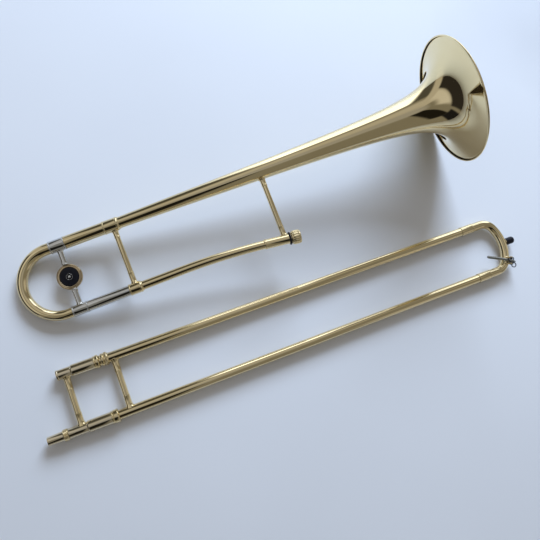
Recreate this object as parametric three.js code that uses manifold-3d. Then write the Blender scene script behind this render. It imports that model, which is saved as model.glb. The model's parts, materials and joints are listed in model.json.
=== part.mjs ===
// A slide trombone laid out in its two halves: the bell section and, beside it, the closed hand slide.
// Millimetres. +X runs along the hand slide from the mouthpiece end to the bow, +Z is up, and both
// halves rest on Z = 0. The origin is the middle of the bounding box, at its base.
import * as THREE from 'three';
import { mergeVertices } from 'three/addons/utils/BufferGeometryUtils.js';
import Module from 'manifold-3d';

const wasm = await Module();
wasm.setup();

// ---- Driving dimensions -------------------------------------------------------------------------
const GAP = 0.3; // clearance between neighbouring pieces
const SIDES = 16; // facets round a tube
const BELL_SIDES = 32;
const WALL = 0.45; // usual tube wall
const BELL_WALL = 0.6;

// Hand slide: two parallel legs at y = +/- LEG_Y, "upper" takes the mouthpiece, "lower" the bell.
const LEG_Y = 42.5;
const BORE_TUBE_R = 6.35; // outside of the inner tubes
const STOCKING_R = 6.45; // thickened far end of the inner tubes
const OUTER_TUBE_R = 7.25;
const OUTER_BORE_R = 6.78;
const BARREL_R = 8.9;
const BARREL_BORE_R = 8.1;
const RING_R = 10.3; // rings round the mouths of the cork barrels, the lowest points of the slide
const MOUTHPIECE_X = 18.5;
const SOCKET_DEPTH = 17.5; // for the mouthpiece's shank
const SHANK_X = -20.2;
const SHANK_TUBE_R = 7.6;
const BARREL_X = { upper: 39.7, lower: 38.1 };
const BARREL_END_X = { upper: 81.2, lower: 84.3 };
const RING_X = 73.5;
const CORK_END_X = 62;
const INNER_BRACE_X = 30.6;
const HAND_BRACE_X = 102.6;
const SLIDE_BRACE_R = 4.6;
const SOCKET_PROUD = 0.6; // how far a brace's socket stands off its tube
const FOOT_PROUD = 2.1;
const INNER_TUBE_END_X = 727;
// The bow bends in two radii: a tight corner at each leg and a wide crown between them.
const BOW_X = 751.6; // where the corners start
const BOW_LEG = 17.6; // straight length at each end of the bow
const BOW_CORNER_R = 23;
const BOW_CROWN_R = 65;
const BUMPER_R = 6.1;
const BUMPER_END_X = 802.3;
const BUMPER_PROUD = 0.9; // how far the face of its base stands off the bow

// Water key, in its own frame where the bow's crown meets its lower corner: u points outwards across
// the bow, h is up and v is the pivot's axis. The finger touch lies inside the bow, the pad closes a
// nipple outside it.
const KEY_AXIS_U = 3.4; // where the bow's centre line passes under
const PIVOT = { u: 8.5, h: 11 };
const PIN_R = 0.9;
const EYE_R = 2.1;
const EYE_HALF = 2.2;
const EAR_V = 5.6;
const NIPPLE_END_U = 14;

// Bell section, in its own frame: x' along the legs, the bell leg at y' = +NECK_Y, the neck at -NECK_Y,
// and the centre of the tuning crook's half circle at the origin.
const NECK_Y = 50.85;
const RIM_X = 674.1;
const RIM_R = 101.9; // outside of the rolled bead: an 8 inch bell
const BELL_TAIL_X = 101.6;
const BELL_SEAM_X = 380; // where the flare is brazed to the stem
const CROOK_R = { bell: 8.9, neck: 7.4 };
const CROOK_LEG = 14;
const TUNING_JOINT_X = 30; // where the tuning slide meets its sleeves
const SLEEVE_R = { bell: 9.6, neck: 8.0 };
const TUNING_LEG_R = { bell: 8.6, neck: 7.1 };
const TUNING_LEG_END_X = 88;
const NECK_R = 6.7;
const RECEIVER_R = 7.5;
const NUT_R = 11;
const MEDALLION_X = 19.2;
const MEDALLION_R = 19.2;
const BADGE_R = 14.1;
const BELL_BRACE_X = { front: 104.9, rear: 341.5 };
const BELL_BRACE_R = 4.1;
const NECK_START_X = 105.6;
const NECK_BEND_X = 180;
const NECK_BEND_R = 1050;
const RECEIVER_X = 308;
const RECEIVER_LENGTH = 46;
const NUT_START = 42.3; // along the receiver, whose own X axis starts at RECEIVER_X
const NUT_END = 57.6;
const BELL_PLACE = new THREE.Vector2(61.5, 174.3); // of the crook's centre, beside the slide
const BELL_YAW = THREE.MathUtils.degToRad(1.63);
const BELL_PITCH = THREE.MathUtils.degToRad(7.33); // the rim holds the far end up
const BELL_ROLL = THREE.MathUtils.degToRad(0.97);

// Materials, one for each finish.
const finish = (color, roughness, metalness) => ({ color, roughness, metalness });
const LACQUER = finish(0xd2b876, 0.14, 1);
const NICKEL = finish(0xc4c4c0, 0.2, 1);
const CHROME = finish(0xd8dadd, 0.08, 1);
const STEEL = finish(0x70747a, 0.35, 1);
const RUBBER = finish(0x111216, 0.6, 0);
const ENAMEL = finish(0x08080a, 0.12, 0);
const CORK = finish(0xb58e62, 0.85, 0);

// ---- Shape helpers ------------------------------------------------------------------------------
function addPiece(parent, name, geometry, look) {
  const mesh = new THREE.Mesh(geometry, new THREE.MeshStandardMaterial(look));
  mesh.name = name;
  parent.add(mesh);
  return mesh;
}

function addGroup(parent, x = 0, y = 0, z = 0) {
  const group = new THREE.Group();
  group.position.set(x, y, z);
  parent.add(group);
  return group;
}

// A turned piece about the X axis. Points are [x, radius], along the outside and back along the bore.
function turned(points, sides = SIDES) {
  const profile = points.map(([x, r]) => new THREE.Vector2(r, x));
  profile.push(profile[0].clone());
  return new THREE.LatheGeometry(profile, sides).rotateZ(-Math.PI / 2);
}

function tube(x0, x1, outer, bore, sides = SIDES) {
  return turned([[x0, outer], [x1, outer], [x1, bore], [x0, bore]], sides);
}

// A solid turned piece: the profile runs from the axis, along the outside and back to the axis.
function turnedSolid(points, sides = SIDES) {
  return turned([[points[0][0], 0], ...points, [points.at(-1)[0], 0]], sides);
}

function solidOf(geometry) {
  const bare = geometry.clone();
  bare.deleteAttribute('normal');
  bare.deleteAttribute('uv');
  const merged = mergeVertices(bare, 1e-4);
  return new wasm.Manifold(new wasm.Mesh({
    numProp: 3,
    vertProperties: merged.attributes.position.array,
    triVerts: new Uint32Array(merged.index.array),
  }));
}

function geometryOf(solid) {
  const mesh = solid.getMesh();
  return new THREE.BufferGeometry()
    .setAttribute('position', new THREE.BufferAttribute(new Float32Array(mesh.vertProperties), 3))
    .setIndex(new THREE.BufferAttribute(new Uint32Array(mesh.triVerts), 1));
}

const cut = (from, ...tools) => geometryOf(tools.reduce((s, t) => s.subtract(solidOf(t)), solidOf(from)));
const join = (first, ...rest) => geometryOf(rest.reduce((s, t) => s.add(solidOf(t)), solidOf(first)));
const common = (a, b) => geometryOf(solidOf(a).intersect(solidOf(b)));

// A U in the XY plane, with a straight leg at each end, a corner at each leg and a crown between the
// corners. Its corners start at x = 0. With one radius it is a half circle.
class UBend extends THREE.Curve {
  constructor(halfWidth, leg, side, corner = halfWidth, crown = halfWidth) {
    super();
    this.halfWidth = halfWidth;
    this.leg = leg;
    this.side = side; // +1 bulges towards +X, -1 towards -X
    this.corner = corner;
    this.crown = crown;
    // The crown meets the corners at this angle from X, and its centre lies `depth` behind theirs.
    this.turn = crown > corner ? Math.asin((halfWidth - corner) / (crown - corner)) : 0;
    this.depth = (crown - corner) * Math.cos(this.turn);
  }

  getPoint(t, target = new THREE.Vector3()) {
    const { halfWidth, leg, side, corner, crown, turn, depth } = this;
    const bend = corner * (Math.PI / 2 - turn);
    const half = leg + bend + crown * turn;
    const s = half * Math.min(2 * t, 2 - 2 * t); // from the nearer end
    const mirror = t < 0.5 ? 1 : -1;
    if (s < leg) return target.set(side * (s - leg), mirror * halfWidth, 0);
    if (s < leg + bend) {
      const a = Math.PI / 2 - (s - leg) / corner;
      const y = halfWidth - corner + corner * Math.sin(a);
      return target.set(side * corner * Math.cos(a), mirror * y, 0);
    }
    const a = (half - s) / crown;
    return target.set(side * (crown * Math.cos(a) - depth), mirror * crown * Math.sin(a), 0);
  }
}

// A hollow tube of round section along a path.
function bentTube(path, steps, outer, bore, sides = SIDES) {
  const ring = (r) => Array.from({ length: sides }, (_, i) => {
    const a = (2 * Math.PI * i) / sides;
    return new THREE.Vector2(r * Math.cos(a), r * Math.sin(a));
  });
  const section = new THREE.Shape(ring(outer));
  if (bore) section.holes.push(new THREE.Path(ring(bore).reverse()));
  return new THREE.ExtrudeGeometry(section, { steps, extrudePath: path, bevelEnabled: false });
}

// Scales a U bend's section about its centre line, from 1 on the +Y leg to `ratio` on the -Y leg.
function taperBend(geometry, radius, ratio) {
  const p = geometry.attributes.position;
  const v = new THREE.Vector3();
  const centre = new THREE.Vector3();
  for (let i = 0; i < p.count; i++) {
    v.fromBufferAttribute(p, i);
    const angle = v.x < 0 ? Math.atan2(v.y, -v.x) : Math.sign(v.y) * Math.PI / 2;
    if (v.x < 0) centre.set(-radius * Math.cos(angle), radius * Math.sin(angle), 0);
    else centre.set(v.x, Math.sign(v.y) * radius, 0);
    const along = 0.5 - angle / Math.PI;
    v.sub(centre).multiplyScalar(1 + (ratio - 1) * along).add(centre);
    p.setXYZ(i, v.x, v.y, v.z);
  }
  return geometry;
}

// ---- Braces -------------------------------------------------------------------------------------
// A brace runs along Y between two tubes. Each socket flares into a foot that is hollowed to its tube.
function braceSocket(seamY, tubeY, tubeR, braceR) {
  const side = Math.sign(tubeY - seamY);
  const length = Math.abs(tubeY - seamY);
  const flare = 6;
  const start = length - tubeR - flare;
  const socketR = braceR + SOCKET_PROUD;
  const footR = braceR + FOOT_PROUD;
  const body = turnedSolid([
    [0, socketR], [start, socketR], [start + 0.6 * flare, socketR + 0.4], [start + flare, footR],
    [length, footR],
  ], 12);
  const hollow = turnedSolid([[0, braceR + GAP], [4, braceR + GAP]], 12).translate(-0.5, 0, 0);
  const saddle = new THREE.CylinderGeometry(tubeR + GAP, tubeR + GAP, 60, SIDES).translate(length, 0, 0);
  return cut(body, hollow, saddle).rotateZ(side * Math.PI / 2).translate(0, seamY, 0);
}

function addBrace(parent, name, x, r, ends) {
  const place = addGroup(parent, x);
  const [upper, lower] = ends;
  const inset = 3; // how far the brace tube enters each socket
  const bar = tube(lower.seam - inset, upper.seam + inset, r, r - 1, 12);
  addPiece(place, `${name}_tube`, bar.rotateZ(Math.PI / 2), LACQUER);
  for (const end of ends) {
    addPiece(place, `${name}_socket_${end.name}`, braceSocket(end.seam, end.y, end.r, r), LACQUER);
  }
}

// ---- Hand slide ---------------------------------------------------------------------------------
function addInnerSlide(parent) {
  const upper = addGroup(parent, 0, LEG_Y);
  const lower = addGroup(parent, 0, -LEG_Y);

  // The mouthpiece slips into a slightly tapered socket, with the inner tube soldered in behind it.
  const tubeStart = { upper: MOUTHPIECE_X + SOCKET_DEPTH, lower: 0.3 };
  const bore = BORE_TUBE_R + GAP;
  addPiece(upper, 'mouthpiece_receiver', turned([
    [MOUTHPIECE_X, 8], [MOUTHPIECE_X + 2, 8], [MOUTHPIECE_X + 2.6, SHANK_TUBE_R],
    [BARREL_X.upper - GAP, SHANK_TUBE_R], [BARREL_X.upper - GAP, bore],
    [tubeStart.upper - GAP, bore], [tubeStart.upper - GAP, 6], [MOUTHPIECE_X, 6.3],
  ]), LACQUER);
  addPiece(upper, 'leadpipe', turned([
    [tubeStart.upper, 5.62], [230, 5.62], [230, 5.3], [70, 5.1], [tubeStart.upper, 5.35],
  ]), LACQUER);

  // The shank enters the bell's receiver, and the nut screws onto the threaded collar behind it.
  const collarX = 2.7;
  const collarEnd = 10;
  addPiece(lower, 'slide_shank', turned([
    [SHANK_X, 6.5], [collarX - 2, 7.05], [collarEnd + GAP, 7.05], [collarEnd + GAP, SHANK_TUBE_R],
    [BARREL_X.lower - GAP, SHANK_TUBE_R], [BARREL_X.lower - GAP, bore], [0, bore], [0, 5.7],
    [SHANK_X, 5.7],
  ]), LACQUER);
  addPiece(lower, 'shank_collar', turned([
    [collarX, 8.4], [collarX + 0.6, 8.8], [collarEnd - 0.6, 8.8], [collarEnd, 8.4],
    [collarEnd, 7.05 + GAP], [collarX, 7.05 + GAP],
  ]), LACQUER);

  for (const [side, place] of Object.entries({ upper, lower })) {
    const start = BARREL_X[side];
    const end = BARREL_END_X[side];
    addPiece(place, `inner_tube_${side}`, turned([
      [tubeStart[side], BORE_TUBE_R], [INNER_TUBE_END_X - 130, BORE_TUBE_R],
      [INNER_TUBE_END_X - 125, STOCKING_R], [INNER_TUBE_END_X, STOCKING_R],
      [INNER_TUBE_END_X, 5.93], [tubeStart[side], 5.93],
    ]), CHROME);
    addPiece(place, `cork_barrel_${side}`, turned([
      [start, BARREL_R - 0.8], [start + 1.2, BARREL_R], [end - 0.2, BARREL_R],
      [end - 0.2, BARREL_BORE_R], [start + 2, BARREL_BORE_R], [start + 2, bore], [start, bore],
    ]), LACQUER);
    addPiece(place, `barrel_ring_${side}`, turned([
      [RING_X, BARREL_R + 0.9], [RING_X + 2.4, BARREL_R + 0.9], [RING_X + 3.4, RING_R - 0.2],
      [RING_X + 4, RING_R], [end - 0.6, RING_R], [end, RING_R - 0.5], [end, BARREL_R + GAP],
      [RING_X, BARREL_R + GAP],
    ]), LACQUER);
    addPiece(place, `barrel_cork_${side}`, tube(start + 2.4, CORK_END_X, BARREL_BORE_R - GAP, bore), CORK);
  }

  addBrace(parent, 'inner_brace', INNER_BRACE_X, SLIDE_BRACE_R, [
    { name: 'upper', seam: 16.7, y: LEG_Y, r: SHANK_TUBE_R },
    { name: 'lower', seam: -18.4, y: -LEG_Y, r: SHANK_TUBE_R },
  ]);
}

// The bow's centre line, and a solid bar along it, in the bow's own frame.
const BOW_LINE = new UBend(LEG_Y, BOW_LEG, 1, BOW_CORNER_R, BOW_CROWN_R);
const BOW_STEPS = 30;
const bowBar = (r) => bentTube(BOW_LINE, BOW_STEPS, r, 0);

function addOuterSlide(parent) {
  const seamX = BOW_X - BOW_LEG;
  const ferrule = { start: 712, end: seamX + 1.5 };
  for (const [side, y] of [['upper', LEG_Y], ['lower', -LEG_Y]]) {
    const place = addGroup(parent, 0, y);
    const leg = tube(CORK_END_X + 0.8, seamX - GAP, OUTER_TUBE_R, OUTER_BORE_R);
    addPiece(place, `outer_tube_${side}`, leg, LACQUER);
    addPiece(place, `bow_ferrule_${side}`, turned([
      [ferrule.start, OUTER_TUBE_R + GAP + 0.15], [ferrule.start + 1, OUTER_TUBE_R + GAP + 0.4],
      [ferrule.end - 1, OUTER_TUBE_R + GAP + 0.4], [ferrule.end, OUTER_TUBE_R + GAP + 0.15],
      [ferrule.end, OUTER_TUBE_R + GAP], [ferrule.start, OUTER_TUBE_R + GAP],
    ]), LACQUER);
  }
  addBrace(parent, 'hand_brace', HAND_BRACE_X, SLIDE_BRACE_R, [
    { name: 'upper', seam: 18.5, y: LEG_Y, r: OUTER_TUBE_R },
    { name: 'lower', seam: -18.5, y: -LEG_Y, r: OUTER_TUBE_R },
  ]);

  // Sleeve on the upper leg that carries the slide lock's ring between its two shoulders.
  addPiece(addGroup(parent, 0, LEG_Y), 'lock_ferrule', turned([
    [BARREL_END_X.upper + 0.6, 8.1], [84.2, 8.1], [84.2, 7.95], [95.3, 7.95],
    [95.6, OUTER_TUBE_R + GAP], [BARREL_END_X.upper + 0.6, OUTER_TUBE_R + GAP],
  ]), LACQUER);

  const bow = addGroup(parent, BOW_X);
  addPiece(bow, 'bow', cut(
    bentTube(BOW_LINE, BOW_STEPS, OUTER_TUBE_R, OUTER_BORE_R),
    waterKeyPlaced(turnedSolid([[KEY_AXIS_U, 2.1], [KEY_AXIS_U + 12, 2.1]], 8)),
  ), LACQUER);
  const front = BOW_CROWN_R - BOW_LINE.depth; // the middle of the crown
  const face = front + OUTER_TUBE_R + BUMPER_PROUD;
  const end = BUMPER_END_X - BOW_X;
  addPiece(bow, 'bumper_base', cut(
    turnedSolid([[front, BUMPER_R - 0.9], [face, BUMPER_R - 0.9]], 12),
    bowBar(OUTER_TUBE_R + GAP),
  ), LACQUER);
  addPiece(bow, 'bumper_tip', turnedSolid([
    [face + GAP, BUMPER_R], [end - 2, BUMPER_R], [end - 0.6, BUMPER_R - 0.6], [end, BUMPER_R - 2],
  ]), RUBBER);
}

function addSlideLock(parent) {
  addPiece(addGroup(parent, 0, LEG_Y), 'lock_ring', turned([
    [84.7, 9.1], [85.5, 9.7], [88, 9.7], [88.6, 9.3], [89.6, 9.3], [90.4, 9.9], [93.6, 9.9],
    [94.8, 9.1], [94.8, 7.95 + GAP], [84.7, 7.95 + GAP],
  ]), LACQUER);
}

// ---- Water key ----------------------------------------------------------------------------------
const keyReach = BOW_CORNER_R - KEY_AXIS_U; // from the lower corner's centre
const waterKeyPlaced = (geometry) => geometry.translate(keyReach, 0, 0)
  .rotateZ(-BOW_LINE.turn)
  .translate(0, BOW_CORNER_R - LEG_Y, 0);
const alongV = (v0, v1, outer, bore, sides = 10) => (bore
  ? tube(v0, v1, outer, bore, sides)
  : turnedSolid([[v0, outer], [v1, outer]], sides)).rotateZ(Math.PI / 2).translate(PIVOT.u, 0, PIVOT.h);

function rod(points, r, sides = 6) {
  const path = new THREE.CatmullRomCurve3(points.map((p) => new THREE.Vector3(...p)));
  return bentTube(path, points.length * 2, r, 0, sides);
}

function addWaterKeyMount(bow) {
  addPiece(bow, 'water_key_nipple', cut(
    waterKeyPlaced(tube(KEY_AXIS_U + 2, NIPPLE_END_U, 3.3, 2.1, 12)),
    bowBar(OUTER_TUBE_R + GAP),
  ), NICKEL);

  const skin = 1.1;
  const plate = new THREE.BoxGeometry(8, 2 * EAR_V, 7.4).translate(PIVOT.u, 0, 7.6);
  const ears = [-1, 1].map((s) => join(
    new THREE.BoxGeometry(4.4, 1.6, PIVOT.h).translate(PIVOT.u, s * EAR_V, PIVOT.h / 2),
    alongV(s * EAR_V - 0.8, s * EAR_V + 0.8, 2.2, 0),
  ));
  const band = common(waterKeyPlaced(plate), bowBar(OUTER_TUBE_R + GAP + skin));
  addPiece(bow, 'water_key_saddle', cut(
    join(band, ...ears.map(waterKeyPlaced)),
    bowBar(OUTER_TUBE_R + GAP),
    waterKeyPlaced(alongV(-EAR_V - 2, EAR_V + 2, PIN_R + GAP, 0)),
  ), NICKEL);
  addPiece(bow, 'water_key_pin', waterKeyPlaced(alongV(-EAR_V - 1.2, EAR_V + 1.2, PIN_R, 0, 8)), STEEL);

  // A double spring: a coil on each side of the lever's eye, a bridge over the lever's arm that joins
  // them, and a free end on each side that is bent round into a ring beyond the saddle.
  const wire = 0.6;
  const coil = (middle) => alongV(middle - 0.95, middle + 0.95, 2.5, PIN_R + GAP + 0.1);
  const bridge = rod([
    [PIVOT.u, -3.55, PIVOT.h + 1.9], [PIVOT.u - 4, -3, PIVOT.h + 2.5], [PIVOT.u - 6, 0, PIVOT.h + 2.6],
    [PIVOT.u - 4, 3, PIVOT.h + 2.5], [PIVOT.u, 3.55, PIVOT.h + 1.9],
  ], wire, 5);
  const ringEnd = (s) => rod([
    [PIVOT.u + 1, s * 3.55, PIVOT.h - 1.9], [12.2, s * 2.8, 9], [14.6, s * 2.6, 8.4], [17, s * 3.6, 8],
    [17.7, s * 5.6, 7.8], [16, s * 7.6, 7.8], [13.4, s * 7.4, 7.9], [12, s * 5.6, 8.1],
  ], wire, 5);
  const coils = [-1, 1].map((s) => join(coil(3.55 * s), ringEnd(s)));
  addPiece(bow, 'water_key_spring', waterKeyPlaced(cut(join(bridge, ...coils),
    alongV(-2.55, 2.55, 2.5, 0))), STEEL);
}

function addWaterKey(bow) {
  const eye = alongV(-EYE_HALF, EYE_HALF, EYE_R, 0, 12);
  const arm = rod([
    [-31, 0, 6], [-26, 0, 6.4], [-16, 0, 8.8], [-7, 0, 10.6], [0, 0, 11], [PIVOT.u, 0, PIVOT.h],
  ], 1.35);
  const touch = new THREE.SphereGeometry(1, 8, 6).scale(5.5, 2.6, 1.7).rotateY(0.1).translate(-29.5, 0, 6.1);
  const tail = rod([
    [PIVOT.u, 0, PIVOT.h], [13, 0, 11], [17.4, 0, 8.6], [19, 0, 4.5], [18.4, 0, 0],
  ], 1.35);
  const cup = turned([
    [NIPPLE_END_U + 1, 4.9], [18.4, 4.9], [19.2, 3.6], [19.2, 0], [17.2, 0], [17.2, 4.3],
    [NIPPLE_END_U + 1, 4.3],
  ], 12);
  addPiece(bow, 'water_key_lever', waterKeyPlaced(cut(join(eye, arm, touch, tail, cup),
    alongV(-EYE_HALF - 2, EYE_HALF + 2, PIN_R + GAP, 0),
    turnedSolid([[NIPPLE_END_U - 1, 4.3], [17.2, 4.3]], 12))), NICKEL);
  addPiece(bow, 'water_key_pad', waterKeyPlaced(turnedSolid([
    [NIPPLE_END_U + GAP, 4], [17.2 - GAP, 4],
  ], 12)), CORK);
}

// ---- Bell section -------------------------------------------------------------------------------
// The rim is rolled back round a wire: an open hook of sheet, with the wire lying inside it.
const BEAD_R = 2.1;
const BEAD_BORE_R = 1.35;
const BEAD_CENTRE = [RIM_X + BELL_WALL - BEAD_R, RIM_R - BEAD_R];
const SHEET_R = BEAD_CENTRE[1] - 0.3; // where the flare runs into the roll

// Outside radius of the bell at a distance from its rim: a flare that fades into a slow taper.
function bellRadius(fromRim) {
  const throat = 16.4;
  const curl = 26.8;
  return throat + (SHEET_R - throat) * (curl / (fromRim + curl)) ** 1.29 - 0.0164 * fromRim;
}

// Outlines of the bell's wall at stations that are given as distances from the rim.
function bellWall(stations) {
  const outside = [];
  const inside = [];
  for (const fromRim of stations) {
    const slope = bellRadius(fromRim) - bellRadius(fromRim + 1);
    const inwards = BELL_WALL / Math.hypot(1, slope);
    outside.push([RIM_X - fromRim, bellRadius(fromRim)]);
    inside.push([RIM_X - fromRim + inwards * slope, bellRadius(fromRim) - inwards]);
  }
  return { outside, inside };
}

function addBell(parent) {
  const stem = bellWall([BELL_TAIL_X, 150, 210, 280, 340, BELL_SEAM_X - GAP].map((x) => RIM_X - x));
  addPiece(parent, 'bell_stem', turned([...stem.outside, ...stem.inside.reverse()], BELL_SIDES), LACQUER);

  const rings = 11;
  const { outside, inside } = bellWall(Array.from({ length: rings + 1 },
    (_, i) => (RIM_X - BELL_SEAM_X) * (1 - i / rings) ** 2));
  const hook = (r, from, to, steps) => Array.from({ length: steps + 1 }, (_, i) => {
    const a = THREE.MathUtils.degToRad(from + ((to - from) * i) / steps);
    return [BEAD_CENTRE[0] + r * Math.cos(a), BEAD_CENTRE[1] + r * Math.sin(a)];
  });
  outside.pop();
  inside.pop();
  addPiece(parent, 'bell_flare', turned([
    ...outside, ...hook(BEAD_BORE_R, -60, 190, 5), ...hook(BEAD_R, 190, -60, 5), ...inside.reverse(),
  ], BELL_SIDES), LACQUER);
  addPiece(parent, 'bell_rim_wire', new THREE.TorusGeometry(BEAD_CENTRE[1], 0.8, 5, BELL_SIDES)
    .rotateY(Math.PI / 2).translate(BEAD_CENTRE[0], 0, 0), STEEL);

  const sleeve = tube(TUNING_JOINT_X + GAP, BELL_TAIL_X - 0.6, SLEEVE_R.bell, 9.05);
  addPiece(parent, 'tuning_sleeve_bell', sleeve, LACQUER);
  addPiece(parent, 'bell_ferrule', turned([
    [90.4, 10.2], [91.4, 10.5], [112.5, 10.5], [114.7, 9.7], [114.7, 9.15], [BELL_TAIL_X, 9.15],
    [BELL_TAIL_X - 0.5, SLEEVE_R.bell + GAP], [90.4, SLEEVE_R.bell + GAP],
  ]), LACQUER);
}

// The neck runs straight and then bends gently away from the bell to meet the slide.
class NeckLine extends THREE.Curve {
  getPoint(t, target = new THREE.Vector3()) {
    const x = NECK_START_X + t * (RECEIVER_X + 8 - NECK_START_X);
    const past = Math.max(0, x - NECK_BEND_X);
    return target.set(x, -NECK_Y - past ** 2 / (2 * NECK_BEND_R), 0);
  }
}

// The receiver continues the neck's last tangent.
const RECEIVER_ANGLE = -(RECEIVER_X - NECK_BEND_X) / NECK_BEND_R;
const receiverY = (x) => -NECK_Y - (RECEIVER_X - NECK_BEND_X) ** 2 / (2 * NECK_BEND_R)
  + Math.tan(RECEIVER_ANGLE) * (x - RECEIVER_X);

function addNeck(parent) {
  const place = addGroup(parent, 0, -NECK_Y);
  const sleeve = tube(TUNING_JOINT_X + GAP, NECK_START_X - 0.6, SLEEVE_R.neck, 7.5);
  addPiece(place, 'tuning_sleeve_neck', sleeve, NICKEL);
  addPiece(place, 'neck_ferrule', turned([
    [94.7, 8.7], [95.5, 8.9], [112.8, 8.9], [115.4, 7.9], [115.4, NECK_R + GAP],
    [NECK_START_X, NECK_R + GAP], [NECK_START_X - 0.3, SLEEVE_R.neck + GAP], [94.7, SLEEVE_R.neck + GAP],
  ]), LACQUER);
  addPiece(parent, 'gooseneck', bentTube(new NeckLine(), 8, NECK_R, NECK_R - WALL), LACQUER);
}

function addReceiver(place) {
  addPiece(place, 'slide_receiver', turned([
    [0, NECK_R + 0.6], [1.2, RECEIVER_R], [NUT_START + 2.4, RECEIVER_R], [NUT_START + 2.4, 9.2],
    [NUT_START + 3.8, 9.2], [NUT_START + 3.8, 8.2], [RECEIVER_LENGTH + 4, 8.2], [RECEIVER_LENGTH + 4, 6.9],
    [12, 6.4], [8.6, NECK_R + GAP], [0, NECK_R + GAP],
  ]), LACQUER);
  addPiece(place, 'receiver_o_ring', turned([
    [NUT_START - 3.2, 9.6], [NUT_START - 2.6, 10.2], [NUT_START - 1, 10.2], [NUT_START - 0.4, 9.6],
    [NUT_START - 0.4, RECEIVER_R + GAP], [NUT_START - 3.2, RECEIVER_R + GAP],
  ]), RUBBER);
}

function addNut(place) {
  addPiece(place, 'coupling_nut', turned([
    [NUT_START, 9.8], [NUT_START + 1, NUT_R - 0.4], [NUT_START + 3, NUT_R - 0.4],
    [NUT_START + 4, NUT_R], [NUT_END - 4, NUT_R], [NUT_END - 2.4, NUT_R - 0.5],
    [NUT_END, 9.9], [NUT_END, 8.9], [NUT_START + 6, 8.9], [NUT_START + 5, 9.6],
    [NUT_START + 1.8, 9.6], [NUT_START + 1.8, RECEIVER_R + GAP], [NUT_START, RECEIVER_R + GAP],
  ]), LACQUER);
}

// ---- Tuning slide -------------------------------------------------------------------------------
function addTuningSlide(parent) {
  const bend = bentTube(new UBend(NECK_Y, CROOK_LEG, -1), 16, CROOK_R.bell, CROOK_R.bell - 0.6);
  addPiece(parent, 'tuning_crook', taperBend(bend, NECK_Y, CROOK_R.neck / CROOK_R.bell), LACQUER);
  for (const [side, y] of [['bell', NECK_Y], ['neck', -NECK_Y]]) {
    const place = addGroup(parent, 0, y);
    const crookR = CROOK_R[side];
    addPiece(place, `crook_ferrule_${side}`, turned([
      [6.5, crookR + 0.7], [7.5, crookR + 1.1], [TUNING_JOINT_X - 2, crookR + 1.1],
      [TUNING_JOINT_X, crookR + 0.9], [TUNING_JOINT_X, crookR + GAP], [6.5, crookR + GAP],
    ]), NICKEL);
    addPiece(place, `tuning_leg_${side}`, tube(CROOK_LEG + GAP, TUNING_LEG_END_X, TUNING_LEG_R[side],
      TUNING_LEG_R[side] - WALL), NICKEL);
  }

  const post = (from, to, legR) => {
    const side = Math.sign(to - from);
    const length = Math.abs(to - from);
    const body = turnedSolid([
      [0, 4.6], [1.6, 4.6], [2.4, 3.9], [length - legR - 3.2, 3.9], [length - legR - 1, 5.2], [length, 5.2],
    ], 12).rotateZ(side * Math.PI / 2).translate(0, from, 0);
    const leg = new THREE.CylinderGeometry(legR + GAP, legR + GAP, 60, SIDES).rotateZ(Math.PI / 2)
      .translate(0, to, 0);
    const discR = MEDALLION_R + GAP;
    const disc = new THREE.CylinderGeometry(discR, discR, 20, 32).rotateX(Math.PI / 2);
    return cut(body, leg, disc);
  };
  const place = addGroup(parent, MEDALLION_X);
  addPiece(place, 'crook_post_bell', post(MEDALLION_R - 2, NECK_Y, CROOK_R.bell + 1.1), NICKEL);
  addPiece(place, 'crook_post_neck', post(-MEDALLION_R + 2, -NECK_Y, CROOK_R.neck + 1.1), NICKEL);
  addPiece(place, 'medallion_ring', turnedSolid([
    [-3, MEDALLION_R - 1.2], [-1.8, MEDALLION_R], [1.8, MEDALLION_R], [3, MEDALLION_R - 1.6],
    [3, BADGE_R + 1], [2.6, BADGE_R + GAP], [0.9, BADGE_R + GAP],
  ], 24).rotateY(-Math.PI / 2), LACQUER);
  addPiece(place, 'medallion_insert', turnedSolid([
    [1.2, BADGE_R], [2.2, BADGE_R], [2.5, BADGE_R - 0.6],
  ], 24).rotateY(-Math.PI / 2), ENAMEL);
}

// ---- Assembly -----------------------------------------------------------------------------------
const trombone = new THREE.Group();

const handSlide = addGroup(trombone, 0, 0, RING_R);
addInnerSlide(handSlide);
addOuterSlide(handSlide);
addSlideLock(handSlide);
const bowPlace = addGroup(handSlide, BOW_X);
addWaterKeyMount(bowPlace);
addWaterKey(bowPlace);

const bellSection = addGroup(trombone, BELL_PLACE.x, BELL_PLACE.y);
bellSection.rotation.set(BELL_ROLL, -BELL_PITCH, BELL_YAW, 'ZYX');
addBell(addGroup(bellSection, 0, NECK_Y));
addNeck(bellSection);
addTuningSlide(bellSection);
const receiver = addGroup(bellSection, RECEIVER_X, receiverY(RECEIVER_X));
receiver.rotation.z = RECEIVER_ANGLE;
addReceiver(receiver);
addNut(receiver);
addBrace(bellSection, 'front_brace', BELL_BRACE_X.front, BELL_BRACE_R, [
  { name: 'bell', seam: 30, y: NECK_Y, r: 10.5 },
  { name: 'neck', seam: -25.4, y: -NECK_Y, r: 8.9 },
]);
addBrace(bellSection, 'rear_brace', BELL_BRACE_X.rear, BELL_BRACE_R, [
  { name: 'bell', seam: 26, y: NECK_Y, r: bellRadius(RIM_X - BELL_BRACE_X.rear - 7) },
  { name: 'neck', seam: -40.5, y: receiverY(BELL_BRACE_X.rear), r: RECEIVER_R + 0.6 },
]);

// Rest the bell section on the table, then put the origin under the middle of the whole.
bellSection.position.z = -new THREE.Box3().setFromObject(bellSection, true).min.z;
const box = new THREE.Box3().setFromObject(trombone, true);
trombone.position.set(-(box.min.x + box.max.x) / 2, -(box.min.y + box.max.y) / 2, -box.min.z);

export default trombone;
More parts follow.
